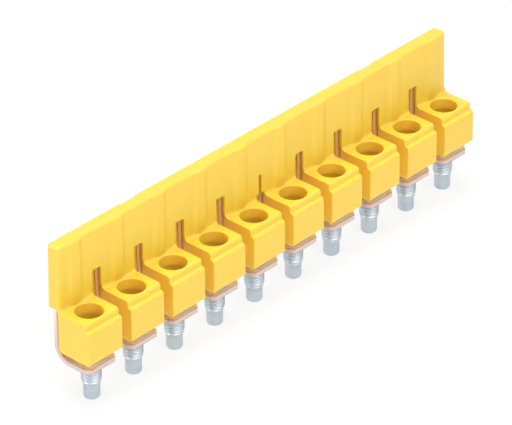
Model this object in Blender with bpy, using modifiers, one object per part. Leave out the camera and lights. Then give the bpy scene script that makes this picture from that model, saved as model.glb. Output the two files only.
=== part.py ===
"""Insulated jumper bar for ten neighbouring screw terminal blocks.

A stamped copper comb joins the terminals. Its plate stands inside the hollow fin of a yellow moulding,
and its legs come out below, bend forward and end as feet. Over each foot the moulding has a sleeve that
guides a screwdriver to a captive screw, which clamps the foot in its terminal.

Frame: X runs along the bar, -Y is the side of the sleeves and +Z is up. The origin is the centre of the
bar's bounding box. All lengths are in metres.
"""
import math

import bmesh
import bpy
from mathutils import Matrix, Vector

# Poles
POLES = 10
PITCH = 0.0099

# Clearances between pieces that seat on each other
SEAT_GAP = 0.0003
STRIP_CLEARANCE = 0.0002
HEAD_CLEARANCE = 0.0002
HOLE_CLEARANCE = 0.0002

# Screws
THREAD_DIAMETER = 0.0035
PILOT_DIAMETER = 0.00275
HEAD_DIAMETER = 0.0052
HEAD_HEIGHT = 0.0022
HEAD_TOP_CHAMFER = 0.0003
HEAD_SEAT_CHAMFER = 0.0004
DRIVE_SLOT_WIDTH = 0.0009
DRIVE_SLOT_DEPTH = 0.0011
THREAD_BELOW_FOOT = 0.0030
THREAD_RUNOUT = 0.0011
PILOT_LENGTH = 0.0027
PILOT_TIP_RADIUS = 0.0004
SCREW_TURN = math.radians(40.0)

# Sleeves, measured from the bore's axis and from the sleeve's top face
SLEEVE_SIDE_WALL = 0.00105
SLEEVE_FRONT_WALL = 0.0008
SLEEVE_BACK_WALL = 0.00055
SLEEVE_HEIGHT = 0.0077
BORE_DIAMETER = 0.0048
BORE_RIM_CHAMFER = 0.00018
BORE_DEPTH = 0.0021
STEP_DEPTH = 0.00075
STEP_HEIGHT = 0.0013
SLEEVE_CORNER_RADIUS = 0.00045
SLEEVE_SIDE_RADIUS = 0.0003
SLEEVE_BOTTOM_RADIUS = 0.0004
STEP_EDGE_RADIUS = 0.0005
TOP_EDGE_RADIUS = 0.0003
SLEEVE_HEEL_RADIUS = 0.0009

# Fin
FIN_FRONT_WALL = 0.00045
FIN_BACK_WALL = 0.00065
FIN_HEIGHT = 0.0122
FIN_UNDERSIDE = 0.0005
FIN_OVERHANG = 0.00025
FIN_END_DRAFT = 0.0003
FIN_END_RADIUS = 0.00045
FIN_TOP_RADIUS = 0.0004
FIN_FILLET_RADIUS = 0.0008
WALL_ROOT = 0.0005
RIB_TOP_WIDTH = 0.0017
RIB_SLOPE = 0.00075
RIB_HEIGHT = 0.0004
SLOT_WIDTH = 0.0016
SLOT_TOP = 0.0045
SLOT_FLARE_TOP = 0.0007
SLOT_FLARE = 0.0003
MIDDLE_SLIT_WIDTH = 0.0003
MIDDLE_NOTCH_TOP = 0.0008
RECESS_WIDTH = 0.0037
RECESS_DEPTH = 0.00055
RECESS_POLES_FROM_END = 2

# Copper comb
STRIP_THICKNESS = 0.0011
LEG_WIDTH = 0.0069
PLATE_TOP = 0.0068
PLATE_END_INSET = 0.0003
PLATE_CORNER_CUT = 0.0012
WEB_BOTTOM = 0.0029
BEND_INNER_RADIUS = 0.0021
FOOT_DROP = 0.0011
FOOT_REACH = 0.0029
FOOT_TIP_WIDTH = 0.0054
FOOT_TAPER = 0.0012

# Facets, and how far cutters reach past what they cut
ARC_STEP = math.radians(22.5)
BORE_STEPS = 32
SCREW_STEPS = 20
SMOOTH_BELOW = math.radians(35.0)
OVERCUT = 0.0010
VIEW_MARGIN = 0.00002

# What follows from the sizes above. The sleeves' top faces are at Z = 0 and the bores' axes at Y = 0.
CHAMBER_DIAMETER = HEAD_DIAMETER + 2 * HEAD_CLEARANCE
SLEEVE_WIDTH = CHAMBER_DIAMETER + 2 * SLEEVE_SIDE_WALL
SLEEVE_FRONT_Y = -(CHAMBER_DIAMETER / 2 + SLEEVE_FRONT_WALL)
SLEEVE_BACK_Y = CHAMBER_DIAMETER / 2 + SLEEVE_BACK_WALL
SLEEVE_BOTTOM_Z = -SLEEVE_HEIGHT
STRIP_FRONT_Y = SLEEVE_BACK_Y + SEAT_GAP
STRIP_BACK_Y = STRIP_FRONT_Y + STRIP_THICKNESS
POCKET_FRONT_Y = STRIP_FRONT_Y - STRIP_CLEARANCE
POCKET_BACK_Y = STRIP_BACK_Y + STRIP_CLEARANCE
POCKET_TOP_Z = PLATE_TOP + SEAT_GAP
FIN_FRONT_Y = POCKET_FRONT_Y - FIN_FRONT_WALL
FIN_BACK_Y = POCKET_BACK_Y + FIN_BACK_WALL
FOOT_TOP_Z = SLEEVE_BOTTOM_Z - FOOT_DROP
FOOT_BOTTOM_Z = FOOT_TOP_Z - STRIP_THICKNESS
HEAD_BOTTOM_Z = FOOT_TOP_Z + SEAT_GAP
HEAD_TOP_Z = HEAD_BOTTOM_Z + HEAD_HEIGHT
THREAD_END_Z = FOOT_BOTTOM_Z - THREAD_BELOW_FOOT
PILOT_START_Z = THREAD_END_Z - THREAD_RUNOUT
TIP_Z = PILOT_START_Z - PILOT_LENGTH
SHOULDER_Z = FIN_UNDERSIDE - SEAT_GAP
OUTER_POLE_X = (POLES - 1) * PITCH / 2
COMB_HALF_LENGTH = OUTER_POLE_X + LEG_WIDTH / 2
PLATE_HALF_LENGTH = COMB_HALF_LENGTH - PLATE_END_INSET
FIN_HALF_LENGTH = OUTER_POLE_X + SLEEVE_WIDTH / 2 + FIN_OVERHANG
BOX_CENTRE = Vector((0.0, (SLEEVE_FRONT_Y + FIN_BACK_Y) / 2, (FIN_HEIGHT + TIP_Z) / 2))

PLANE_AXES = {
    "XY": (Vector((1, 0, 0)), Vector((0, 1, 0)), Vector((0, 0, 1))),
    "YZ": (Vector((0, 1, 0)), Vector((0, 0, 1)), Vector((1, 0, 0))),
    "XZ": (Vector((1, 0, 0)), Vector((0, 0, 1)), Vector((0, -1, 0))),
}


def pole_x(index):
    """The X of a pole's bore axis, counted from 0 at the left."""
    return index * PITCH - OUTER_POLE_X


def gap_x(index):
    """The X halfway between a pole and the next one."""
    return pole_x(index) + PITCH / 2


def clear_scene():
    for item in list(bpy.data.objects):
        bpy.data.objects.remove(item, do_unlink=True)


def new_collection(name, parent=None):
    group = bpy.data.collections.new(name)
    (parent or bpy.context.scene.collection).children.link(group)
    return group


def new_material(name, colour, roughness, metallic):
    finish = bpy.data.materials.new(name)
    finish.use_nodes = True
    shader = finish.node_tree.nodes["Principled BSDF"]
    shader.inputs["Base Color"].default_value = (*colour, 1.0)
    shader.inputs["Roughness"].default_value = roughness
    shader.inputs["Metallic"].default_value = metallic
    return finish


def place(name, data, group):
    item = bpy.data.objects.new(name, data)
    group.objects.link(item)
    return item


def place_cutter(mesh, group, x=0.0):
    item = place(mesh.name, mesh, group)
    item.location.x = x
    item.hide_render = True
    item.display_type = "WIRE"
    return item


def baked_mesh(item):
    """The world-space mesh of an object with its modifiers applied; the object itself is removed."""
    bpy.context.view_layer.update()
    evaluated = item.evaluated_get(bpy.context.evaluated_depsgraph_get())
    mesh = bpy.data.meshes.new_from_object(evaluated)
    mesh.transform(item.matrix_world)
    mesh.name = item.name
    bpy.data.objects.remove(item, do_unlink=True)
    shape = bmesh.new()
    shape.from_mesh(mesh)
    bmesh.ops.remove_doubles(shape, verts=shape.verts, dist=1e-7)
    bmesh.ops.dissolve_limit(shape, angle_limit=math.radians(0.05), verts=shape.verts, edges=shape.edges)
    shape.to_mesh(mesh)
    shape.free()
    return mesh


def add_boolean(item, operation, group, label):
    """A Boolean of an object with every object of a collection."""
    modifier = item.modifiers.new(label, "BOOLEAN")
    modifier.operation = operation
    modifier.operand_type = "COLLECTION"
    modifier.collection = group
    modifier.solver = "EXACT"


def boolean_mesh(name, base, operation, tools):
    """One mesh combined with others at once, as a new mesh; nothing else stays in the scene."""
    group = new_collection(name)
    for tool in tools:
        place(tool.name, tool, group)
    item = place(name, base, bpy.context.scene.collection)
    add_boolean(item, operation, group, name)
    mesh = baked_mesh(item)
    for tool in list(group.objects):
        bpy.data.objects.remove(tool, do_unlink=True)
    bpy.data.collections.remove(group)
    return mesh


def rounded(corners):
    """An outline whose corners, given as (x, y, radius), are turned into arcs."""
    points = []
    count = len(corners)
    for index, (x, y, radius) in enumerate(corners):
        corner = Vector((x, y))
        if radius <= 0:
            points.append(corner)
            continue
        before = (Vector(corners[index - 1][:2]) - corner).normalized()
        after = (Vector(corners[(index + 1) % count][:2]) - corner).normalized()
        half_angle = before.angle(after) / 2
        centre = corner + (before + after).normalized() * radius / math.sin(half_angle)
        start = corner + before * radius / math.tan(half_angle) - centre
        sweep = start.angle_signed(corner + after * radius / math.tan(half_angle) - centre)
        steps = max(2, round(abs(sweep) / ARC_STEP))
        for step in range(steps + 1):
            points.append(centre + Matrix.Rotation(-sweep * step / steps, 2) @ start)
    return points


def prism(name, outline, start, end, plane):
    """A flat outline in one of the main planes, extruded between two places along the plane's third axis."""
    curve = bpy.data.curves.new(name, "CURVE")
    curve.dimensions = "2D"
    curve.fill_mode = "BOTH"
    curve.extrude = (end - start) / 2
    spline = curve.splines.new("POLY")
    spline.points.add(len(outline) - 1)
    for point, (x, y) in zip(spline.points, outline):
        point.co = (x, y, 0.0, 1.0)
    spline.use_cyclic_u = True
    item = place(name, curve, bpy.context.scene.collection)
    across, along, normal = PLANE_AXES[plane]
    turn = Matrix((across, along, normal)).transposed().to_4x4()
    middle = Vector([abs(value) for value in normal]) * (start + end) / 2
    item.matrix_world = Matrix.Translation(middle) @ turn
    return baked_mesh(item)


def box(name, low, high):
    """A block between two opposite corners."""
    low, high = Vector(low), Vector(high)
    size = Matrix.Diagonal((*(high - low), 1.0))
    shape = bmesh.new()
    bmesh.ops.create_cube(shape, size=1.0, matrix=Matrix.Translation((low + high) / 2) @ size)
    mesh = bpy.data.meshes.new(name)
    shape.to_mesh(mesh)
    shape.free()
    return mesh


def turned(name, profile, steps):
    """A solid of revolution about Z; the profile gives (radius, height) from top to bottom."""
    mesh = bpy.data.meshes.new(name)
    edges = [(index, index + 1) for index in range(len(profile) - 1)]
    mesh.from_pydata([(radius, 0.0, height) for radius, height in profile], edges, [])
    item = place(name, mesh, bpy.context.scene.collection)
    screw = item.modifiers.new("Turn", "SCREW")
    screw.axis = "Z"
    screw.steps = steps
    screw.render_steps = steps
    screw.use_merge_vertices = True
    screw.merge_threshold = 1e-6
    return baked_mesh(item)


def bore_mesh():
    """The space inside a sleeve: a rim chamfer, the screwdriver's bore, and the wider chamber of the head."""
    bore, chamber = BORE_DIAMETER / 2, CHAMBER_DIAMETER / 2
    return turned("bore", [
        (0.0, OVERCUT),
        (bore + BORE_RIM_CHAMFER, OVERCUT),
        (bore + BORE_RIM_CHAMFER, 0.0),
        (bore, -BORE_RIM_CHAMFER),
        (bore, -BORE_DEPTH),
        (chamber, -BORE_DEPTH),
        (chamber, SLEEVE_BOTTOM_Z - OVERCUT),
        (0.0, SLEEVE_BOTTOM_Z - OVERCUT),
    ], BORE_STEPS)


def sleeve_mesh():
    """One screwdriver sleeve: its side, front and plan outlines extruded and intersected, then bored.

    The side outline has the step along the front and the fillet up to the fin. The side outline alone gives
    the front, top and bottom faces and the plan outline alone the side faces; the others stay just outside.
    """
    half = SLEEVE_WIDTH / 2
    step_y = SLEEVE_FRONT_Y + STEP_DEPTH
    fillet_y = FIN_FRONT_Y + VIEW_MARGIN
    side_view = rounded([
        (SLEEVE_BACK_Y, SLEEVE_BOTTOM_Z, SLEEVE_HEEL_RADIUS),
        (SLEEVE_BACK_Y, FIN_FILLET_RADIUS + VIEW_MARGIN, 0.0),
        (fillet_y, FIN_FILLET_RADIUS + VIEW_MARGIN, 0.0),
        (fillet_y, 0.0, FIN_FILLET_RADIUS),
        (step_y, 0.0, TOP_EDGE_RADIUS),
        (step_y, -STEP_HEIGHT, TOP_EDGE_RADIUS),
        (SLEEVE_FRONT_Y, -STEP_HEIGHT, STEP_EDGE_RADIUS),
        (SLEEVE_FRONT_Y, SLEEVE_BOTTOM_Z, SLEEVE_BOTTOM_RADIUS),
    ])
    wide = half + VIEW_MARGIN
    neck = half - SLEEVE_SIDE_RADIUS
    front_view = rounded([
        (-wide, SLEEVE_BOTTOM_Z - VIEW_MARGIN, SLEEVE_BOTTOM_RADIUS),
        (wide, SLEEVE_BOTTOM_Z - VIEW_MARGIN, SLEEVE_BOTTOM_RADIUS),
        (wide, VIEW_MARGIN, SLEEVE_SIDE_RADIUS),
        (neck, VIEW_MARGIN, 0.0),
        (neck, OVERCUT, 0.0),
        (-neck, OVERCUT, 0.0),
        (-neck, VIEW_MARGIN, 0.0),
        (-wide, VIEW_MARGIN, SLEEVE_SIDE_RADIUS),
    ])
    beyond_y = SLEEVE_BACK_Y + OVERCUT
    plan_view = rounded([
        (-half, beyond_y, 0.0),
        (-half, SLEEVE_FRONT_Y - VIEW_MARGIN, SLEEVE_CORNER_RADIUS),
        (half, SLEEVE_FRONT_Y - VIEW_MARGIN, SLEEVE_CORNER_RADIUS),
        (half, beyond_y, 0.0),
    ])
    from_side = prism("side_view", side_view, -half - OVERCUT, half + OVERCUT, "YZ")
    from_front = prism("front_view", front_view, SLEEVE_FRONT_Y - OVERCUT, beyond_y, "XZ")
    from_above = prism("plan_view", plan_view, SLEEVE_BOTTOM_Z - OVERCUT, 2 * OVERCUT, "XY")
    block = boolean_mesh("sleeve", from_side, "INTERSECT", [from_front, from_above])
    return boolean_mesh("sleeve", block, "DIFFERENCE", [bore_mesh()])


def fin_mesh():
    """The solid fin: a slab with a soft rib at each pole, round corners, drafted ends and a rounded top."""
    end, rib_y = FIN_HALF_LENGTH, FIN_FRONT_Y - RIB_HEIGHT
    corners = [
        (end, FIN_FRONT_Y, FIN_END_RADIUS),
        (end, FIN_BACK_Y, FIN_END_RADIUS),
        (-end, FIN_BACK_Y, FIN_END_RADIUS),
        (-end, FIN_FRONT_Y, FIN_END_RADIUS),
    ]
    top_half = RIB_TOP_WIDTH / 2
    base_half = top_half + RIB_SLOPE
    for index in range(POLES):
        x = pole_x(index)
        corners += [(x - base_half, FIN_FRONT_Y, 0.0), (x - top_half, rib_y, 0.0)]
        corners += [(x + top_half, rib_y, 0.0), (x + base_half, FIN_FRONT_Y, 0.0)]
    mesh = prism("fin", rounded(corners), -WALL_ROOT, FIN_HEIGHT, "XY")
    shape = bmesh.new()
    shape.from_mesh(mesh)
    top = {vertex for vertex in shape.verts if vertex.co.z > FIN_HEIGHT / 2}
    for vertex in top:
        vertex.co.x *= 1 - FIN_END_DRAFT / end
    rim = [edge for edge in shape.edges if top.issuperset(edge.verts)]
    bmesh.ops.bevel(shape, geom=rim, offset=FIN_TOP_RADIUS, offset_type="OFFSET", segments=3, profile=0.5,
                    affect="EDGES", material=-1, clamp_overlap=True)
    shape.to_mesh(mesh)
    shape.free()
    return mesh


def slot_outline(half_width, foot_top):
    """The front view of a slot in the fin's front wall; its foot flares out to the gap between two sleeves."""
    foot_half = SLOT_WIDTH / 2
    flare_half = (PITCH - SLEEVE_WIDTH) / 2 + SLOT_FLARE
    right_side = [(flare_half, -WALL_ROOT - OVERCUT), (flare_half, -WALL_ROOT)]
    if half_width < foot_half:
        right_side += [(foot_half, foot_top - SLOT_FLARE_TOP), (foot_half, foot_top)]
    right_side += [(half_width, foot_top), (half_width, SLOT_TOP)]
    return right_side + [(-x, z) for x, z in reversed(right_side)]


def underside_outline():
    """The plan of what is cut away below the fin: all of it behind the sleeves, and its ends beside them."""
    far_x, far_y = FIN_HALF_LENGTH + OVERCUT, FIN_BACK_Y + OVERCUT
    sleeve_x, sleeve_y = OUTER_POLE_X + SLEEVE_WIDTH / 2 - SLEEVE_SIDE_RADIUS, SLEEVE_BACK_Y - VIEW_MARGIN
    front_y = FIN_FRONT_Y - OVERCUT
    return [
        (far_x, front_y), (far_x, far_y), (-far_x, far_y), (-far_x, front_y),
        (-sleeve_x, front_y), (-sleeve_x, sleeve_y), (sleeve_x, sleeve_y), (sleeve_x, front_y),
    ]


def build_housing(parts, cutters, plastic):
    """The yellow moulding: the hollowed and slotted fin, with a bored sleeve joined to it at each pole."""
    housing = place("insulating_housing", fin_mesh(), parts)
    housing.data.materials.append(plastic)

    hollows = new_collection("fin_hollows", cutters)
    place_cutter(prism("underside", underside_outline(), -PITCH, FIN_UNDERSIDE, "XY"), hollows)
    pocket_half = PLATE_HALF_LENGTH + STRIP_CLEARANCE
    pocket_outline = [
        (-pocket_half, SHOULDER_Z), (pocket_half, SHOULDER_Z), (pocket_half, POCKET_TOP_Z - PLATE_CORNER_CUT),
        (pocket_half - PLATE_CORNER_CUT, POCKET_TOP_Z), (PLATE_CORNER_CUT - pocket_half, POCKET_TOP_Z),
        (-pocket_half, POCKET_TOP_Z - PLATE_CORNER_CUT),
    ]
    place_cutter(prism("pocket", pocket_outline, POCKET_FRONT_Y, POCKET_BACK_Y, "XZ"), hollows)
    front_y, inside_y = FIN_FRONT_Y - OVERCUT, (POCKET_FRONT_Y + POCKET_BACK_Y) / 2
    slot = prism("slot", slot_outline(SLOT_WIDTH / 2, SLOT_FLARE_TOP), front_y, inside_y, "XZ")
    slit = prism("slit", slot_outline(MIDDLE_SLIT_WIDTH / 2, MIDDLE_NOTCH_TOP), front_y, inside_y, "XZ")
    for index in range(POLES - 1):
        at_middle = 2 * (index + 1) == POLES
        place_cutter(slit if at_middle else slot, hollows, gap_x(index))
    low = (-RECESS_WIDTH / 2, FIN_BACK_Y - RECESS_DEPTH, POCKET_TOP_Z + FIN_BACK_WALL)
    recess = box("recess", low, (RECESS_WIDTH / 2, FIN_BACK_Y + OVERCUT, FIN_HEIGHT + OVERCUT))
    for index in (RECESS_POLES_FROM_END - 1, POLES - 1 - RECESS_POLES_FROM_END):
        place_cutter(recess, hollows, gap_x(index))
    add_boolean(housing, "DIFFERENCE", hollows, "Pocket, slots and recesses")

    sleeves = new_collection("sleeves", cutters)
    sleeve = sleeve_mesh()
    for index in range(POLES):
        place_cutter(sleeve, sleeves, pole_x(index))
    add_boolean(housing, "UNION", sleeves, "Sleeves")
    return housing


def build_comb(parts, cutters, copper):
    """The copper comb: one bent strip, with its ends, the gaps between its legs, its tips and holes cut."""
    strip = rounded([
        (STRIP_FRONT_Y, PLATE_TOP, 0.0),
        (STRIP_FRONT_Y, FOOT_TOP_Z, BEND_INNER_RADIUS),
        (-FOOT_REACH, FOOT_TOP_Z, 0.0),
        (-FOOT_REACH, FOOT_BOTTOM_Z, 0.0),
        (STRIP_BACK_Y, FOOT_BOTTOM_Z, BEND_INNER_RADIUS + STRIP_THICKNESS),
        (STRIP_BACK_Y, PLATE_TOP, 0.0),
    ])
    blank_half = COMB_HALF_LENGTH + OVERCUT
    comb = place("contact_comb", prism("contact_comb", strip, -blank_half, blank_half, "YZ"), parts)
    comb.data.materials.append(copper)

    cuts = new_collection("comb_cuts", cutters)
    front_y, back_y = -FOOT_REACH - OVERCUT, STRIP_BACK_Y + OVERCUT
    below_z, far_x = FOOT_BOTTOM_Z - OVERCUT, blank_half + OVERCUT
    cut_x = PLATE_HALF_LENGTH - PLATE_CORNER_CUT
    for side in (-1, 1):
        outline = [
            (COMB_HALF_LENGTH, below_z), (COMB_HALF_LENGTH, SHOULDER_Z), (PLATE_HALF_LENGTH, SHOULDER_Z),
            (PLATE_HALF_LENGTH, PLATE_TOP - PLATE_CORNER_CUT), (cut_x, PLATE_TOP),
            (cut_x, PLATE_TOP + OVERCUT), (far_x, PLATE_TOP + OVERCUT), (far_x, below_z),
        ]
        place_cutter(prism("comb_end", [(side * x, z) for x, z in outline], front_y, back_y, "XZ"), cuts)

    gap_half = (PITCH - LEG_WIDTH) / 2
    leg_gap = box("leg_gap", (-gap_half, front_y, below_z - OVERCUT), (gap_half, back_y, -WEB_BOTTOM))
    for index in range(POLES - 1):
        place_cutter(leg_gap, cuts, gap_x(index))

    slope = (LEG_WIDTH - FOOT_TIP_WIDTH) / 2 / FOOT_TAPER
    tip_half = (PITCH - FOOT_TIP_WIDTH) / 2
    near_half = tip_half + slope * OVERCUT
    deep_half = gap_half / 2
    deep_y = (tip_half - deep_half) / slope - FOOT_REACH
    taper_outline = [(near_half, front_y), (deep_half, deep_y), (-deep_half, deep_y), (-near_half, front_y)]
    taper = prism("tip_taper", taper_outline, FOOT_BOTTOM_Z - OVERCUT / 2, FOOT_TOP_Z + OVERCUT / 2, "XY")
    for index in range(-1, POLES):
        place_cutter(taper, cuts, gap_x(index))

    hole = THREAD_DIAMETER / 2 + HOLE_CLEARANCE
    hole_top_z, hole_bottom_z = FOOT_TOP_Z + OVERCUT, FOOT_BOTTOM_Z - OVERCUT
    profile = [(0.0, hole_top_z), (hole, hole_top_z), (hole, hole_bottom_z), (0.0, hole_bottom_z)]
    hole_mesh = turned("foot_hole", profile, BORE_STEPS)
    for index in range(POLES):
        place_cutter(hole_mesh, cuts, pole_x(index))
    add_boolean(comb, "DIFFERENCE", cuts, "Ends, leg gaps, tips and holes")
    return comb


def screw_mesh():
    """A turned screw with a slotted cheese head, the thread as a plain cylinder, and a plain pilot."""
    head, thread, pilot = HEAD_DIAMETER / 2, THREAD_DIAMETER / 2, PILOT_DIAMETER / 2
    profile = [
        (0.0, HEAD_TOP_Z),
        (head - HEAD_TOP_CHAMFER, HEAD_TOP_Z),
        (head, HEAD_TOP_Z - HEAD_TOP_CHAMFER),
        (head, HEAD_BOTTOM_Z + HEAD_SEAT_CHAMFER),
        (head - HEAD_SEAT_CHAMFER, HEAD_BOTTOM_Z),
        (thread, HEAD_BOTTOM_Z),
        (thread, THREAD_END_Z),
        (pilot, PILOT_START_Z),
    ]
    tip_steps = round(math.radians(90.0) / ARC_STEP)
    for step in range(tip_steps + 1):
        angle = step * ARC_STEP
        radius = pilot - PILOT_TIP_RADIUS * (1 - math.cos(angle))
        profile.append((radius, TIP_Z + PILOT_TIP_RADIUS * (1 - math.sin(angle))))
    profile.append((0.0, TIP_Z))
    reach, half_width = head + OVERCUT, DRIVE_SLOT_WIDTH / 2
    low = (-reach, -half_width, HEAD_TOP_Z - DRIVE_SLOT_DEPTH)
    drive_slot = box("drive_slot", low, (reach, half_width, HEAD_TOP_Z + OVERCUT))
    return boolean_mesh("screw", turned("screw", profile, SCREW_STEPS), "DIFFERENCE", [drive_slot])


def build_screws(parts, steel):
    """Ten screws alike, each turned a little further than the one before it."""
    mesh = screw_mesh()
    mesh.materials.append(steel)
    mesh.shade_smooth()
    mesh.set_sharp_from_angle(angle=SMOOTH_BELOW)
    for index in range(POLES):
        screw = place(f"screw_{index + 1:02d}", mesh, parts)
        screw.location.x = pole_x(index)
        screw.rotation_euler.z = index * SCREW_TURN


def build_jumper_bar():
    clear_scene()
    parts = new_collection("terminal_block_jumper_bar")
    cutters = new_collection("cutters")
    plastic = new_material("yellow_polyamide", (0.94, 0.60, 0.09), 0.42, 0.0)
    copper = new_material("copper", (0.78, 0.46, 0.32), 0.30, 1.0)
    steel = new_material("zinc_plated_steel", (0.62, 0.65, 0.68), 0.35, 1.0)
    build_housing(parts, cutters, plastic)
    build_comb(parts, cutters, copper)
    build_screws(parts, steel)
    centre = place("bar_centre", None, parts)
    centre.location = -BOX_CENTRE
    for item in bpy.data.objects:
        if item is not centre:
            item.parent = centre


build_jumper_bar()
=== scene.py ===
import math

import bmesh
import bpy
from mathutils import Matrix, Vector


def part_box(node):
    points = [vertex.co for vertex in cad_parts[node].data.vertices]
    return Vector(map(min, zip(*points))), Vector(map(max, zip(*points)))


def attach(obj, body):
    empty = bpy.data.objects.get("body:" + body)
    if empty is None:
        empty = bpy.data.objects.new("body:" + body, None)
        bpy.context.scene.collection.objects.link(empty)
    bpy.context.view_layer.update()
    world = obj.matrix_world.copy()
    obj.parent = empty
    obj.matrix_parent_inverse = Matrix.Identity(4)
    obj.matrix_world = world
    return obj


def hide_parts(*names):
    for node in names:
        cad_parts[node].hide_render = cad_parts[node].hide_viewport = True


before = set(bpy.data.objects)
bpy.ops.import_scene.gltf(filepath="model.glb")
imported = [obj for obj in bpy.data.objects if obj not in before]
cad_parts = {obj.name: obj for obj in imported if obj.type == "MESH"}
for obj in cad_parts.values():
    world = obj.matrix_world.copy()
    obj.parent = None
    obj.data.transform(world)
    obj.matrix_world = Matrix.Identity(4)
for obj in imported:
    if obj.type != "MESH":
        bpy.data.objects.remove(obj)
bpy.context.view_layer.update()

# Where the bar lies
# Shapes are drawn in millimetres, from the middle of the bar, the bores' axes and the sleeves' flat tops.
# The screws' own boxes say where that point is in the frame, since each screw stands on its pole's axis.
POLES = 10
PITCH = 9.9
SCREW_TIP = -16.7
first_low, first_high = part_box("screw_01")
last_low, last_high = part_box(f"screw_{POLES:02d}")
origin = Vector((
    (first_low.x + last_high.x) / 2,
    (first_low.y + first_high.y) / 2,
    first_low.z - SCREW_TIP / 1000,
))
to_frame = Matrix.Translation(origin) @ Matrix.Scale(0.001, 4)
pole_places = [(index - (POLES - 1) / 2) * PITCH for index in range(POLES)]
gap_places = [(left + right) / 2 for left, right in zip(pole_places, pole_places[1:])]

# The camera
# It stands to the front left and a little above, far off with a long lens, as the photograph was taken.
# Its distance and its aim's shift to the right and up are in pitches of the bar, the unit of the fit.
CAMERA_DISTANCE = 71.407
AIM_RIGHT = -0.298
AIM_UP = -0.132
AIM_HEIGHT = -0.2
FOCAL_PIXELS = 4185.49
PICTURE_WIDTH = 512
SENSOR_WIDTH = 36
camera_angle, camera_height, camera_roll = math.radians(-47.467), math.radians(31.490), math.radians(-0.414)
outward = Vector((
    math.sin(camera_angle) * math.cos(camera_height),
    -math.cos(camera_angle) * math.cos(camera_height),
    math.sin(camera_height),
))
level_right = Vector((math.cos(camera_angle), math.sin(camera_angle), 0.0))
level_up = outward.cross(level_right)
right = math.cos(camera_roll) * level_right + math.sin(camera_roll) * level_up
up = -math.sin(camera_roll) * level_right + math.cos(camera_roll) * level_up
aim = Vector((0.0, 0.0, AIM_HEIGHT)) + (right * AIM_RIGHT + up * AIM_UP) * PITCH
camera_lens = bpy.data.cameras.new("camera")
camera_lens.sensor_width = SENSOR_WIDTH
camera_lens.sensor_fit = "HORIZONTAL"
camera_lens.lens = FOCAL_PIXELS / PICTURE_WIDTH * SENSOR_WIDTH
camera_lens.clip_end = 100
camera = bpy.data.objects.new("camera", camera_lens)
bpy.context.scene.collection.objects.link(camera)
turn = Matrix((right, up, outward)).transposed().to_4x4()
camera.matrix_world = Matrix.Translation(to_frame @ (aim + outward * CAMERA_DISTANCE * PITCH)) @ turn
bpy.context.scene.camera = camera
bpy.context.scene.view_settings.view_transform = "Standard"

# The table
# A pale matt table carries the bar on its screws' tips. It shows nearly white to the camera and in
# reflections, and keeps a little of the bar's shadow.
TABLE_HALF = 3.0
TABLE_GLOW = 0.8


class Wire:
    """One socket of a material's nodes, so that shader maths reads as plain arithmetic."""

    def __init__(self, socket):
        self.socket = socket

    def node(self, kind, settings, inputs, output=0):
        """Another node of the same material: its settings first, then the values or wires of its inputs."""
        made = self.socket.id_data.nodes.new(kind)
        for name, value in settings.items():
            if name == "stops":
                ramp = made.color_ramp.elements
                while len(ramp) < len(value):
                    ramp.new(1.0)
                for stop, (position, colour) in zip(ramp, value):
                    stop.position = position
                    stop.color = (*colour, 1.0)
            else:
                setattr(made, name, value)
        for name, value in inputs.items():
            if isinstance(value, Wire):
                value.feed(made.inputs[name])
            else:
                made.inputs[name].default_value = value
        return Wire(made.outputs[output])

    def feed(self, socket):
        self.socket.id_data.links.new(socket, self.socket)

    def mixed(self, low, high):
        """The first colour where this wire is 0, and the second where it is 1."""
        low, high = (colour if isinstance(colour, Wire) else (*colour, 1.0) for colour in (low, high))
        return self.node("ShaderNodeMix", {"data_type": "RGBA"}, {0: self, 6: low, 7: high}, 2)

    def noise(self, scale, detail):
        """Cloudy noise over a place in the material."""
        return self.node("ShaderNodeTexNoise", {"noise_dimensions": "3D"},
                         {"Vector": self, "Scale": scale, "Detail": detail, "Roughness": 0.6})

    def along(self, axis):
        """One measure of a place, in metres along its X, Y or Z."""
        return self.node("ShaderNodeSeparateXYZ", {}, {"Vector": self}, axis)

    def bump(self, strength, distance):
        """This wire as a height that tilts the surface."""
        return self.node("ShaderNodeBump", {}, {"Strength": strength, "Distance": distance, "Height": self})

    def ramp(self, stops):
        """The colours of some stops, each (position, colour), along this wire's values."""
        return self.node("ShaderNodeValToRGB", {"stops": stops}, {"Fac": self})

    def maths(self, operation, first, second):
        return self.node("ShaderNodeMath", {"operation": operation}, {0: first, 1: second})

    def at_least(self, floor):
        return self.maths("MAXIMUM", self, floor)

    def __add__(self, other):
        return self.maths("ADD", self, other)

    def __sub__(self, other):
        return self.maths("SUBTRACT", self, other)

    def __rsub__(self, other):
        return self.maths("SUBTRACT", other, self)

    def __mul__(self, other):
        return self.maths("MULTIPLY", self, other)

    def __truediv__(self, other):
        return self.maths("DIVIDE", self, other)

    def __pow__(self, other):
        return self.maths("POWER", self, other)

    __radd__ = __add__
    __rmul__ = __mul__


def new_finish(name, **uniform):
    """A material, its Principled shader with its uniform values, and the place on the piece."""
    material = bpy.data.materials.new(name)
    material.use_nodes = True
    shader = material.node_tree.nodes["Principled BSDF"]
    for key, value in uniform.items():
        shader.inputs[key.replace("_", " ")].default_value = value
    place = Wire(shader.outputs["BSDF"]).node("ShaderNodeTexCoord", {}, {}, "Object")
    return material, shader, place


def looked_at(wire):
    """1 where the camera, a reflection or a clear piece sees the surface, and 0 where it lights others."""
    rays = wire.node("ShaderNodeLightPath", {}, {}).socket.node.outputs
    seen = Wire(rays["Is Camera Ray"]) + Wire(rays["Is Glossy Ray"]) + Wire(rays["Is Transmission Ray"])
    return seen.maths("MINIMUM", seen, 1.0)


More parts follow.
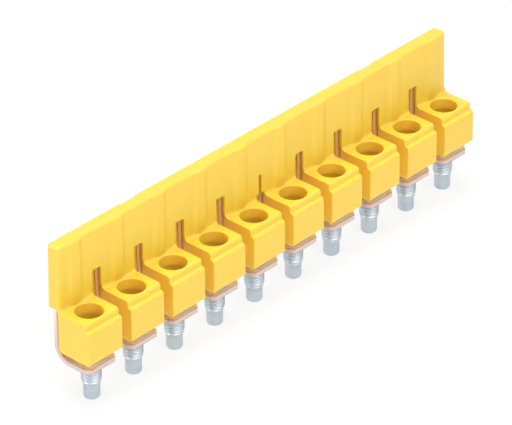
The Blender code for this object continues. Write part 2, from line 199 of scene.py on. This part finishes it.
table_mesh = bpy.data.meshes.new("table")
table_shape = bmesh.new()
bmesh.ops.create_grid(table_shape, x_segments=8, y_segments=8, size=TABLE_HALF)
bmesh.ops.translate(table_shape, verts=table_shape.verts, vec=(0.0, 0.0, first_low.z))
table_shape.to_mesh(table_mesh)
table_shape.free()
table = bpy.data.objects.new("table", table_mesh)
bpy.context.scene.collection.objects.link(table)
table_white, table_shader, table_place = new_finish("table_white", Roughness=0.9, Specular_IOR_Level=0.1)
table_shader.inputs["Base Color"].default_value = (0.93, 0.93, 0.93, 1.0)
glow = table_place.node("ShaderNodeEmission", {}, {"Color": (1.0, 1.0, 1.0, 1.0), "Strength": 1.0})
surface = table_place.node("ShaderNodeMixShader", {}, {
    0: looked_at(table_place) * TABLE_GLOW, 1: Wire(table_shader.outputs["BSDF"]), 2: glow})
surface.feed(table_white.node_tree.nodes["Material Output"].inputs["Surface"])
table_mesh.materials.append(table_white)

# The studio
# A white room, seen as pure white but lighting the bar only dimly, and three large soft lamps: one in front,
# one overhead and one low at the left. Each lamp is a name, its place and width in metres, and its watts.
STUDIO_LIGHT = 0.15
LAMPS = [
    ("lamp_front", (-0.20, -0.56, 0.51), 0.75, 4.0),
    ("lamp_above", (-0.03, 0.045, 0.75), 0.51, 4.8),
    ("lamp_left", (-0.675, 0.30, 0.15), 0.45, 2.0),
]

world = bpy.data.worlds.new("studio")
world.use_nodes = True
studio = world.node_tree.nodes["Background"]
studio.inputs["Color"].default_value = (1.0, 1.0, 1.0, 1.0)
strength = looked_at(Wire(studio.outputs["Background"])) * (1 - STUDIO_LIGHT) + STUDIO_LIGHT
strength.feed(studio.inputs["Strength"])
bpy.context.scene.world = world
for name, spot, width, watts in LAMPS:
    light = bpy.data.lights.new(name, "AREA")
    light.shape = "SQUARE"
    light.size = width
    light.energy = watts
    lamp = bpy.data.objects.new(name, light)
    lamp.location = spot
    lamp.rotation_euler = (-lamp.location).to_track_quat("-Z", "Y").to_euler()
    bpy.context.scene.collection.objects.link(lamp)

# The insulating housing
# One yellow moulding: a tall hollow fin along the back, and ten bored sleeves that guide the driver. Each
# sleeve's top steps down along its front. Low ribs run up the fin, and the outer edges are all rounded.
SLEEVE_HALF = 3.85
SLEEVE_FRONT = -3.6
SLEEVE_BACK = 3.35
SLEEVE_BOTTOM = -7.7
SLEEVE_EDGE = 0.48
SLEEVE_HEEL = 0.9
STEP_BACK = -2.85
STEP_BOTTOM = -1.3
STEP_EDGE = 0.52
STEP_ROOT = 0.22
BORE_RADIUS = 2.4
BORE_RIM = 0.2
BORE_BOTTOM = -2.1
CHAMBER_RADIUS = 2.8
FIN_FRONT = 3.0
FIN_BACK = 5.6
FIN_TOP = 12.2
FIN_HALF_LENGTH = 48.65
FIN_UNDERSIDE = 0.5
FIN_FILLET = 0.8
FIN_ROUNDING = 0.5
FIN_CORNER = 0.7
END_DRAFT = 0.3
RIB_FRONT = 2.68
RIB_HALF_TOP = 0.85
RIB_HALF_BASE = 1.75
RIB_EDGE = 0.22
WALL_ROOT = -0.5
GAP_HALF = PITCH / 2 - SLEEVE_HALF
SLOT_HALF = 1.05
SLOT_TOP = 4.5
SLOT_CORNER = 0.12
FLARE_HALF = GAP_HALF + 0.3
FLARE_TOP = 0.7
FLARE_BOTTOM = -0.6
FLARE_ROUNDING = 0.4
SLIT_HALF = 0.35
NOTCH_TOP = 0.8
NOTCH_FLARE_TOP = 0.0
NOTCH_FLARE_BOTTOM = -0.4
NOTCH_FLARE_ROUNDING = 0.2
NOTCH_CORNER = 0.1
POCKET_FRONT = 3.45
POCKET_BACK = 4.95
POCKET_TOP = 7.1
POCKET_HALF_LENGTH = 47.95
POCKET_CORNER = 1.2
SHOULDER = 0.2
RECESS_HALF = 1.85
RECESS_FLOOR = 5.05
RECESS_BOTTOM = 7.75
RECESS_CORNER = 0.3
GUSSET_RADIUS = 1.1
GUSSET_THICKNESS = 0.2
GUSSET_TAIL = 0.6
MARGIN = 0.02
OVERCUT = 1.0
TONGUE_HALF = 1.75
TONGUE_FRONT = POCKET_BACK + MARGIN
TONGUE_BOTTOM = -2.9
TONGUE_TOP = 1.0


def drawn_solid(corners, span, view, segments=6):
    """A solid drawn in one view from corners (across, up, rounding); span is its reach through the view."""
    places = {
        "side": lambda across, up, through: (through, across, up),
        "front": lambda across, up, through: (across, through, up),
        "plan": lambda across, up, through: (across, up, through),
    }
    put = places[view]
    shape = bmesh.new()
    ring = [shape.verts.new(put(across, up, span[0])) for across, up, _ in corners]
    flat = shape.faces.new(ring)
    grown = bmesh.ops.extrude_face_region(shape, geom=[flat])
    moved = [item for item in grown["geom"] if isinstance(item, bmesh.types.BMVert)]
    bmesh.ops.translate(shape, verts=moved, vec=put(0.0, 0.0, span[1] - span[0]))
    bmesh.ops.recalc_face_normals(shape, faces=shape.faces)
    for across, up, rounding in corners:
        if rounding > 0:
            ends = [Vector(put(across, up, through)) for through in span]
            edge = next(
                edge for edge in shape.edges
                if edge.calc_length() > abs(span[1] - span[0]) * 0.99
                and all(min((vertex.co - end).length for end in ends) < 1e-4 for vertex in edge.verts)
            )
            rounded(shape, [edge], rounding, segments)
    return shape


def rounded(shape, edges, radius, segments):
    """Rounds some edges of a solid."""
    bmesh.ops.bevel(shape, geom=edges, offset=radius, offset_type="OFFSET", affect="EDGES", segments=segments,
                    profile=0.5, material=-1, clamp_overlap=True)


def turned_solid(profile, steps):
    """A solid turned about the upright axis; the profile gives (radius, height) from top to bottom."""
    shape = bmesh.new()
    line = [shape.verts.new((radius, 0.0, height)) for radius, height in profile]
    edges = [shape.edges.new(pair) for pair in zip(line, line[1:])]
    bmesh.ops.spin(shape, geom=line + edges, cent=(0, 0, 0), axis=(0, 0, 1), dvec=(0, 0, 0),
                   angle=math.radians(360), steps=steps, use_merge=True, use_duplicate=False)
    bmesh.ops.remove_doubles(shape, verts=shape.verts, dist=1e-4)
    bmesh.ops.recalc_face_normals(shape, faces=shape.faces)
    return shape


def repeated(shape, places):
    """The same solid at some places along the bar."""
    first = shape.verts[:] + shape.edges[:] + shape.faces[:]
    for place in places[1:]:
        made = bmesh.ops.duplicate(shape, geom=first)["geom"]
        copies = [item for item in made if isinstance(item, bmesh.types.BMVert)]
        bmesh.ops.translate(shape, verts=copies, vec=(place, 0.0, 0.0))
    originals = [item for item in first if isinstance(item, bmesh.types.BMVert)]
    bmesh.ops.translate(shape, verts=originals, vec=(places[0], 0.0, 0.0))
    return shape


def worked(shape, operation, tools):
    """A solid with others cut from it or joined to it, in millimetres like them."""
    group = bpy.data.collections.new("tools")
    bpy.context.scene.collection.children.link(group)
    made = []
    for solid in [shape] + tools:
        mesh = bpy.data.meshes.new("tool")
        solid.to_mesh(mesh)
        solid.free()
        made.append(bpy.data.objects.new("tool", mesh))
    bpy.context.scene.collection.objects.link(made[0])
    for tool in made[1:]:
        group.objects.link(tool)
    modifier = made[0].modifiers.new("work", "BOOLEAN")
    modifier.operation = operation
    modifier.operand_type = "COLLECTION"
    modifier.collection = group
    modifier.solver = "MANIFOLD"
    bpy.context.view_layer.update()
    result = bmesh.new()
    result.from_object(made[0], bpy.context.evaluated_depsgraph_get())
    for item in made:
        bpy.data.meshes.remove(item.data)
    bpy.data.collections.remove(group)
    bmesh.ops.remove_doubles(result, verts=result.verts, dist=1e-4)
    bmesh.ops.dissolve_degenerate(result, dist=1e-4, edges=result.edges)
    stray = [edge for edge in result.edges if not edge.link_faces]
    bmesh.ops.delete(result, geom=stray, context="EDGES")
    return result


def settled(name, shape, materials, smooth_below):
    """The finished object: set in the frame, shaded smooth but for its true edges, and riding on the bar."""
    shape.transform(to_frame)
    mesh = bpy.data.meshes.new(name)
    shape.to_mesh(mesh)
    shape.free()
    for material in materials:
        mesh.materials.append(material)
    mesh.shade_smooth()
    mesh.set_sharp_from_angle(angle=math.radians(smooth_below))
    item = bpy.data.objects.new(name, mesh)
    bpy.context.scene.collection.objects.link(item)
    weighted = item.modifiers.new("even_shading", "WEIGHTED_NORMAL")
    weighted.keep_sharp = True
    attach(item, "root")
    return item


sleeve = drawn_solid([
    (SLEEVE_BACK, SLEEVE_BOTTOM, SLEEVE_HEEL),
    (SLEEVE_BACK, FIN_FILLET + MARGIN, 0.0),
    (FIN_FRONT + MARGIN, FIN_FILLET + MARGIN, 0.0),
    (FIN_FRONT + MARGIN, 0.0, FIN_FILLET),
    (STEP_BACK, 0.0, STEP_EDGE),
    (STEP_BACK, STEP_BOTTOM, STEP_ROOT),
    (SLEEVE_FRONT, STEP_BOTTOM, STEP_EDGE),
    (SLEEVE_FRONT, SLEEVE_BOTTOM, STEP_EDGE),
], (-SLEEVE_HALF, SLEEVE_HALF), "side")
side_edges = [edge for edge in sleeve.edges
              if abs(sum(vertex.co.x for vertex in edge.verts)) > 2 * SLEEVE_HALF - 0.01]
rounded(sleeve, side_edges, SLEEVE_EDGE, 4)
rim_arc = [math.radians(90 * step / 5) for step in range(6)]
bore = turned_solid(
    [(0.0, OVERCUT), (BORE_RADIUS + BORE_RIM, OVERCUT)]
    + [(BORE_RADIUS + BORE_RIM * (1 - math.sin(angle)), BORE_RIM * (math.cos(angle) - 1))
       for angle in rim_arc]
    + [(BORE_RADIUS, BORE_BOTTOM), (CHAMBER_RADIUS, BORE_BOTTOM), (CHAMBER_RADIUS, SLEEVE_BOTTOM - OVERCUT),
       (0.0, SLEEVE_BOTTOM - OVERCUT)], 64)
sleeve = worked(sleeve, "DIFFERENCE", [bore])

plan = [(FIN_HALF_LENGTH, FIN_FRONT, FIN_CORNER), (FIN_HALF_LENGTH, FIN_BACK, FIN_CORNER),
        (-FIN_HALF_LENGTH, FIN_BACK, FIN_CORNER), (-FIN_HALF_LENGTH, FIN_FRONT, FIN_CORNER)]
for place in pole_places:
    plan += [(place - RIB_HALF_BASE, FIN_FRONT, RIB_EDGE), (place - RIB_HALF_TOP, RIB_FRONT, RIB_EDGE),
             (place + RIB_HALF_TOP, RIB_FRONT, RIB_EDGE), (place + RIB_HALF_BASE, FIN_FRONT, RIB_EDGE)]
fin = drawn_solid(plan, (WALL_ROOT, FIN_TOP), "plan")
fin_top = {vertex for vertex in fin.verts if vertex.co.z > FIN_TOP - 0.01}
for vertex in fin_top:
    if abs(vertex.co.x) > FIN_HALF_LENGTH - FIN_CORNER - 0.01:
        vertex.co.x -= math.copysign(END_DRAFT, vertex.co.x)
rounded(fin, [edge for edge in fin.edges if fin_top.issuperset(edge.verts)], FIN_ROUNDING, 4)

far = FIN_HALF_LENGTH + OVERCUT
behind = FIN_BACK + OVERCUT
flank = pole_places[-1] + SLEEVE_HALF - SLEEVE_EDGE
underside = drawn_solid([
    (far, 0, 0), (far, behind, 0), (-far, behind, 0), (-far, 0, 0), (-flank, 0, 0),
    (-flank, SLEEVE_BACK - MARGIN, 0), (flank, SLEEVE_BACK - MARGIN, 0), (flank, 0, 0),
], (-PITCH, FIN_UNDERSIDE), "plan")
pocket = drawn_solid([
    (-POCKET_HALF_LENGTH, SHOULDER, 0), (POCKET_HALF_LENGTH, SHOULDER, 0),
    (POCKET_HALF_LENGTH, POCKET_TOP - POCKET_CORNER, 0), (POCKET_HALF_LENGTH - POCKET_CORNER, POCKET_TOP, 0),
    (POCKET_CORNER - POCKET_HALF_LENGTH, POCKET_TOP, 0), (-POCKET_HALF_LENGTH, POCKET_TOP - POCKET_CORNER, 0),
], (POCKET_FRONT, POCKET_BACK), "front")
recesses = repeated(drawn_solid([
    (-RECESS_HALF, RECESS_BOTTOM, RECESS_CORNER), (RECESS_HALF, RECESS_BOTTOM, RECESS_CORNER),
    (RECESS_HALF, FIN_TOP + OVERCUT, 0), (-RECESS_HALF, FIN_TOP + OVERCUT, 0),
], (RECESS_FLOOR, behind), "front"), [gap_places[1], gap_places[-2]])
middle = len(gap_places) // 2
front_wall = (0.0, (POCKET_FRONT + POCKET_BACK) / 2)
slots = repeated(drawn_solid([
    (-FLARE_HALF, -OVERCUT, 0), (FLARE_HALF, -OVERCUT, 0), (FLARE_HALF, FLARE_BOTTOM, 0),
    (SLOT_HALF, FLARE_TOP, FLARE_ROUNDING), (SLOT_HALF, SLOT_TOP, SLOT_CORNER),
    (-SLOT_HALF, SLOT_TOP, SLOT_CORNER), (-SLOT_HALF, FLARE_TOP, FLARE_ROUNDING),
    (-FLARE_HALF, FLARE_BOTTOM, 0),
], front_wall, "front"), gap_places[:middle] + gap_places[middle + 1:])
slit = repeated(drawn_solid([
    (-GAP_HALF, -OVERCUT, 0), (GAP_HALF, -OVERCUT, 0), (GAP_HALF, NOTCH_FLARE_BOTTOM, 0),
    (SLOT_HALF, NOTCH_FLARE_TOP, NOTCH_FLARE_ROUNDING), (SLOT_HALF, NOTCH_TOP, NOTCH_CORNER),
    (SLIT_HALF, NOTCH_TOP, 0), (SLIT_HALF, SLOT_TOP, 0),
    (-SLIT_HALF, SLOT_TOP, 0), (-SLIT_HALF, NOTCH_TOP, 0),
    (-SLOT_HALF, NOTCH_TOP, NOTCH_CORNER), (-SLOT_HALF, NOTCH_FLARE_TOP, NOTCH_FLARE_ROUNDING),
    (-GAP_HALF, NOTCH_FLARE_BOTTOM, 0),
], front_wall, "front"), [gap_places[middle]])
fin = worked(fin, "DIFFERENCE", [underside, pocket, recesses, slots, slit])

sleeves = repeated(sleeve, pole_places)

gussets = []
gusset_root = SLEEVE_BACK - 0.5
gusset_tip = SLEEVE_BACK + GUSSET_RADIUS + 0.1
gusset_foot = FIN_UNDERSIDE - GUSSET_RADIUS - GUSSET_TAIL
gusset_head = FIN_UNDERSIDE + MARGIN / 2
for side, place in ((-1, pole_places[0]), (1, pole_places[-1])):
    outer = side * (SLEEVE_HALF - MARGIN)
    inner = side * (SLEEVE_HALF - GUSSET_THICKNESS)
    gussets.append(repeated(drawn_solid([
        (gusset_root, gusset_foot, 0), (SLEEVE_BACK, gusset_foot, 0),
        (SLEEVE_BACK, gusset_head, GUSSET_RADIUS),
        (gusset_tip, gusset_head, 0), (gusset_tip, gusset_head + 0.1, 0), (gusset_root, gusset_head + 0.1, 0),
    ], (min(outer, inner), max(outer, inner)), "side", 8), [place]))

tongues = repeated(drawn_solid([
    (-TONGUE_HALF, TONGUE_FRONT, 0), (TONGUE_HALF, TONGUE_FRONT, 0), (TONGUE_HALF, FIN_BACK - MARGIN, 0),
    (-TONGUE_HALF, FIN_BACK - MARGIN, 0),
], (TONGUE_BOTTOM, TONGUE_TOP), "plan"), gap_places)

housing_shape = worked(fin, "UNION", [sleeves])
housing_shape = worked(housing_shape, "UNION", [*gussets, tongues])

yellow, yellow_shader, yellow_place = new_finish(
    "yellow_plastic", Subsurface_Weight=0.4, Subsurface_Scale=0.0012, Specular_IOR_Level=0.8)
yellow_shader.inputs["Subsurface Radius"].default_value = (1.0, 0.45, 0.08)
cloud = yellow_place.noise(90.0, 3.0)
cloud.mixed((0.96, 0.62, 0.050), (0.975, 0.65, 0.060)).feed(yellow_shader.inputs["Base Color"])
grain = yellow_place.noise(7000.0, 2.0)
(0.34 + grain * 0.16).feed(yellow_shader.inputs["Roughness"])
grain.bump(0.25, 0.00002).feed(yellow_shader.inputs["Normal"])
housing = settled("housing", housing_shape, [yellow], smooth_below=32)
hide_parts("insulating_housing")

# The contact comb
# One copper strip, stamped and bent: its plate stands inside the fin, and its legs come out below, turn
# forward and end as drilled feet under the sleeves. Its broad faces are rolled, and its cut edges sheared.
STRIP_FRONT = 3.65
STRIP_BACK = 4.75
PLATE_TOP = 6.8
PLATE_HALF_LENGTH = 47.75
LEG_HALF = 3.45
LEG_ROOT_HALF = 3.68
LEGS_START = 4.75
BEND_INNER = 2.1
FOOT_TOP = -8.8
FOOT_BOTTOM = -9.9
FOOT_REACH = -2.9
FOOT_TIP_HALF = 2.7
FOOT_TAPER = 1.2
HOLE_RADIUS = 1.95
STAMPED_EDGE = 0.1
LEG_GAP_CORNER = 0.5

comb_half = pole_places[-1] + LEG_HALF
comb_shape = drawn_solid([
    (STRIP_FRONT, PLATE_TOP, 0), (STRIP_FRONT, FOOT_TOP, BEND_INNER), (FOOT_REACH, FOOT_TOP, 0),
    (FOOT_REACH, FOOT_BOTTOM, 0), (STRIP_BACK, FOOT_BOTTOM, BEND_INNER + STRIP_BACK - STRIP_FRONT),
    (STRIP_BACK, PLATE_TOP, 0),
], (-comb_half - OVERCUT, comb_half + OVERCUT), "side", 12)
corner = PLATE_HALF_LENGTH - POCKET_CORNER
beyond = comb_half + 2 * OVERCUT
strip_depth = (FOOT_REACH - OVERCUT, STRIP_BACK + OVERCUT)
comb_ends = [drawn_solid([
    (side * comb_half, FOOT_BOTTOM - OVERCUT, 0), (side * comb_half, SHOULDER, 0),
    (side * PLATE_HALF_LENGTH, SHOULDER, 0), (side * PLATE_HALF_LENGTH, PLATE_TOP - POCKET_CORNER, 0),
    (side * corner, PLATE_TOP, 0), (side * corner, PLATE_TOP + OVERCUT, 0),
    (side * beyond, PLATE_TOP + OVERCUT, 0), (side * beyond, FOOT_BOTTOM - OVERCUT, 0),
], strip_depth, "front") for side in (-1, 1)]
leg_gap_half = PITCH / 2 - LEG_HALF
root_gap_half = PITCH / 2 - LEG_ROOT_HALF
bend_start = FOOT_TOP + BEND_INNER
leg_gaps = repeated(drawn_solid([
    (-leg_gap_half, FOOT_BOTTOM - 2 * OVERCUT, 0), (leg_gap_half, FOOT_BOTTOM - 2 * OVERCUT, 0),
    (leg_gap_half, bend_start, 0), (root_gap_half, LEGS_START, LEG_GAP_CORNER),
    (-root_gap_half, LEGS_START, LEG_GAP_CORNER), (-leg_gap_half, bend_start, 0),
], strip_depth, "front"), gap_places)
slope = (LEG_HALF - FOOT_TIP_HALF) / FOOT_TAPER
tip_gap_half = PITCH / 2 - FOOT_TIP_HALF
taper_end = FOOT_REACH + (tip_gap_half - leg_gap_half / 2) / slope
outer_places = [pole_places[0] - PITCH / 2, *gap_places, pole_places[-1] + PITCH / 2]
tip_cuts = repeated(drawn_solid([
    (tip_gap_half + slope, FOOT_REACH - OVERCUT, 0), (leg_gap_half / 2, taper_end, 0),
    (-leg_gap_half / 2, taper_end, 0), (-tip_gap_half - slope, FOOT_REACH - OVERCUT, 0),
], (FOOT_BOTTOM - 0.5, FOOT_TOP + 0.5), "plan"), outer_places)
holes = repeated(turned_solid([
    (0.0, FOOT_TOP + OVERCUT), (HOLE_RADIUS, FOOT_TOP + OVERCUT), (HOLE_RADIUS, FOOT_BOTTOM - OVERCUT),
    (0.0, FOOT_BOTTOM - OVERCUT),
], 48), pole_places)
comb_shape = worked(comb_shape, "DIFFERENCE", [*comb_ends, leg_gaps, tip_cuts, holes])
bmesh.ops.dissolve_limit(comb_shape, angle_limit=math.radians(0.1), verts=comb_shape.verts,
                         edges=comb_shape.edges)
cut_sides = [face for face in comb_shape.faces if abs(face.normal.x) > 0.5]
cut_tips = [face for face in comb_shape.faces
            if face.normal.y < -0.5 and face.calc_center_median().z < FOOT_TOP]
for face in cut_sides + cut_tips:
    face.material_index = 1
rounded(comb_shape, [edge for edge in comb_shape.edges if edge.calc_face_angle(0.0) > math.radians(40)],
        STAMPED_EDGE, 2)

rolled, rolled_shader, rolled_place = new_finish("rolled_copper")
along = rolled_place.node("ShaderNodeMapping", {}, {"Vector": rolled_place, "Scale": (60.0, 2500.0, 2500.0)})
rolling = along.noise(1.0, 4.0)
tarnish = rolled_place.noise(260.0, 4.0)
patches = tarnish.node("ShaderNodeMapRange", {}, {0: tarnish, 1: 0.45, 2: 0.7})
bright = rolling.mixed((0.76, 0.50, 0.37), (0.86, 0.62, 0.49))
tarnished = (patches * 0.4).mixed(bright, (0.48, 0.26, 0.15))
# From just above their tops down, the feet take a pale colour and less metal: painted light that brightens
# them where the sleeves' shade falls.
painted_light_foot = rolling.mixed((0.98, 0.80, 0.66), (1.0, 0.88, 0.76))
painted_light_top = to_frame @ Vector((0.0, 0.0, FOOT_TOP + 0.3))
on_foot = rolled_place.maths("LESS_THAN", rolled_place.along("Z"), painted_light_top.z)
on_foot.mixed(tarnished, painted_light_foot).feed(rolled_shader.inputs["Base Color"])
(0.55 - on_foot * 0.4).feed(rolled_shader.inputs["Metallic"])
(0.34 + rolling * 0.12 + patches * 0.15).feed(rolled_shader.inputs["Roughness"])
rolling.bump(0.3, 0.00002).feed(rolled_shader.inputs["Normal"])

# Across a sheared edge, depth runs from 0 at the strip's front to 1 at its back, and follows the bend to the
# foot, where it runs from the top to the underside.
sheared, sheared_shader, sheared_place = new_finish("sheared_copper", Metallic=0.6)
bend = to_frame @ Vector((0.0, STRIP_FRONT - BEND_INNER, bend_start))
back = (sheared_place.along("Y") - bend.y).at_least(0.0)
drop = (bend.z - sheared_place.along("Z")).at_least(0.0)
tear = sheared_place.noise(2600.0, 5.0)
drift = sheared_place.noise(210.0, 2.0)
depth = ((back * back + drop * drop) ** 0.5 * 1000 - BEND_INNER) / (STRIP_BACK - STRIP_FRONT)
depth = depth + (tear - 0.5) * 0.16 + (drift - 0.5) * 0.4
below = depth.ramp([
    (0.00, (0.44, 0.24, 0.13)), (0.18, (0.54, 0.32, 0.20)), (0.34, (0.76, 0.56, 0.45)),
    (0.84, (0.78, 0.60, 0.52)), (0.97, (0.44, 0.38, 0.40)),
])
# Going up the legs into the fin, the back half of a cut edge turns near white: a painted highlight for the
# edges seen through the slots.
in_fin_painted_highlight = depth.ramp([(0.00, (0.62, 0.36, 0.20)), (0.38, (0.66, 0.40, 0.24)), (0.50, (1.0, 0.90, 0.82))])
height = (sheared_place.along("Z") - bend.z) / (SHOULDER - FOOT_TOP) * 1000
climb = height.maths("MINIMUM", height.at_least(0.0), 1.0)
climb.mixed(below, in_fin_painted_highlight).feed(sheared_shader.inputs["Base Color"])
(0.30 + tear * 0.25).feed(sheared_shader.inputs["Roughness"])
tear.bump(0.4, 0.00004).feed(sheared_shader.inputs["Normal"])
comb = settled("comb", comb_shape, [rolled, sheared], smooth_below=30)
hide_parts("contact_comb")

# The screws
# Ten captive screws of zinc-plated steel. Each has a slotted cheese head inside its sleeve, a rolled thread
# through its foot's hole, and a plain pilot that ends below. Each stands turned its own way.
HEAD_RADIUS = 2.6
HEAD_TOP = -6.3
HEAD_BOTTOM = -8.5
HEAD_ROUNDING = 0.3
HEAD_CHAMFER = 0.4
DRIVE_SLOT_HALF = 0.45
DRIVE_SLOT_DEPTH = 1.1
THREAD_RADIUS = 1.75
THREAD_CORE = 1.47
THREAD_PITCH = 0.6
THREAD_FLAT = 0.15
THREAD_END = -12.9
RUNOUT_END = -14.0
PILOT_RADIUS = 1.425
PILOT_ROUNDING = 0.55
SCREW_TURN = math.radians(40)
SCREW_STEPS = 48

ring_step = THREAD_PITCH / 10
rings = round((HEAD_BOTTOM - RUNOUT_END) / ring_step)
tip_arc = [math.radians(90 * step / 6) for step in range(7)]
screw_shape = turned_solid(
    [(0.0, HEAD_TOP), (HEAD_RADIUS - HEAD_ROUNDING, HEAD_TOP), (HEAD_RADIUS - 0.08, HEAD_TOP - 0.09),
     (HEAD_RADIUS, HEAD_TOP - HEAD_ROUNDING), (HEAD_RADIUS, HEAD_BOTTOM + HEAD_CHAMFER),
     (HEAD_RADIUS - HEAD_CHAMFER, HEAD_BOTTOM)]
    + [(THREAD_RADIUS, HEAD_BOTTOM - ring * ring_step) for ring in range(rings)]
    + [(PILOT_RADIUS, RUNOUT_END - fall) for fall in (0.02, 0.9, 1.8)]
    + [(PILOT_RADIUS - PILOT_ROUNDING * (1 - math.cos(angle)),
        SCREW_TIP + PILOT_ROUNDING * (1 - math.sin(angle))) for angle in tip_arc]
    + [(0.0, SCREW_TIP)], SCREW_STEPS)
for vertex in screw_shape.verts:
    if RUNOUT_END - 0.01 < vertex.co.z < HEAD_BOTTOM + 0.01 and vertex.co.xy.length < THREAD_RADIUS + 0.01:
        winding = vertex.co.z / THREAD_PITCH - math.atan2(vertex.co.y, vertex.co.x) / math.tau
        rise = 2 * abs(winding % 1.0 - 0.5)
        crest = min(max((rise - THREAD_FLAT) / (1 - 2 * THREAD_FLAT), 0.0), 1.0)
        fading = min(max((vertex.co.z - RUNOUT_END) / (THREAD_END - RUNOUT_END), 0.0), 1.0)
        radius = THREAD_CORE + (THREAD_RADIUS - THREAD_CORE) * crest * fading
        vertex.co.xy = vertex.co.xy.normalized() * radius
drive_slot = drawn_solid([
    (-DRIVE_SLOT_HALF, HEAD_TOP - DRIVE_SLOT_DEPTH, 0), (DRIVE_SLOT_HALF, HEAD_TOP - DRIVE_SLOT_DEPTH, 0),
    (DRIVE_SLOT_HALF, HEAD_TOP + OVERCUT, 0), (-DRIVE_SLOT_HALF, HEAD_TOP + OVERCUT, 0),
], (-HEAD_RADIUS - OVERCUT, HEAD_RADIUS + OVERCUT), "side")
screw_shape = worked(screw_shape, "DIFFERENCE", [drive_slot])

zinc, zinc_shader, zinc_place = new_finish("zinc_plate", Metallic=1.0)
# Upright streaks lighten the plating to a pale blue-grey: painted reflections, which also vary its roughness.
stretched_upright = zinc_place.node("ShaderNodeMapping", {}, {"Vector": zinc_place, "Scale": (1500.0, 1500.0, 40.0)})
painted_reflection_streaks = stretched_upright.noise(1.0, 3.0)
film = zinc_place.noise(420.0, 3.0)
tint = film.ramp([
    (0.30, (0.44, 0.50, 0.58)), (0.48, (0.52, 0.57, 0.63)), (0.62, (0.50, 0.57, 0.56)),
    (0.75, (0.59, 0.61, 0.59)),
])
((painted_reflection_streaks - 0.35) * 1.2).mixed(tint, (0.60, 0.64, 0.70)).feed(zinc_shader.inputs["Base Color"])
crystal = zinc_place.noise(5200.0, 3.0)
(0.32 + crystal * 0.14 + painted_reflection_streaks * 0.12).feed(zinc_shader.inputs["Roughness"])
crystal.bump(0.15, 0.00002).feed(zinc_shader.inputs["Normal"])
for index, place in enumerate(pole_places):
    turned = screw_shape.copy()
    bmesh.ops.rotate(turned, verts=turned.verts, cent=(0, 0, 0),
                     matrix=Matrix.Rotation(index * SCREW_TURN, 3, "Z"))
    bmesh.ops.translate(turned, verts=turned.verts, vec=(place, 0.0, 0.0))
    screw = settled(f"screw_{index + 1:02d}_plated", turned, [zinc], smooth_below=40)
    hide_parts(f"screw_{index + 1:02d}")
screw_shape.free()
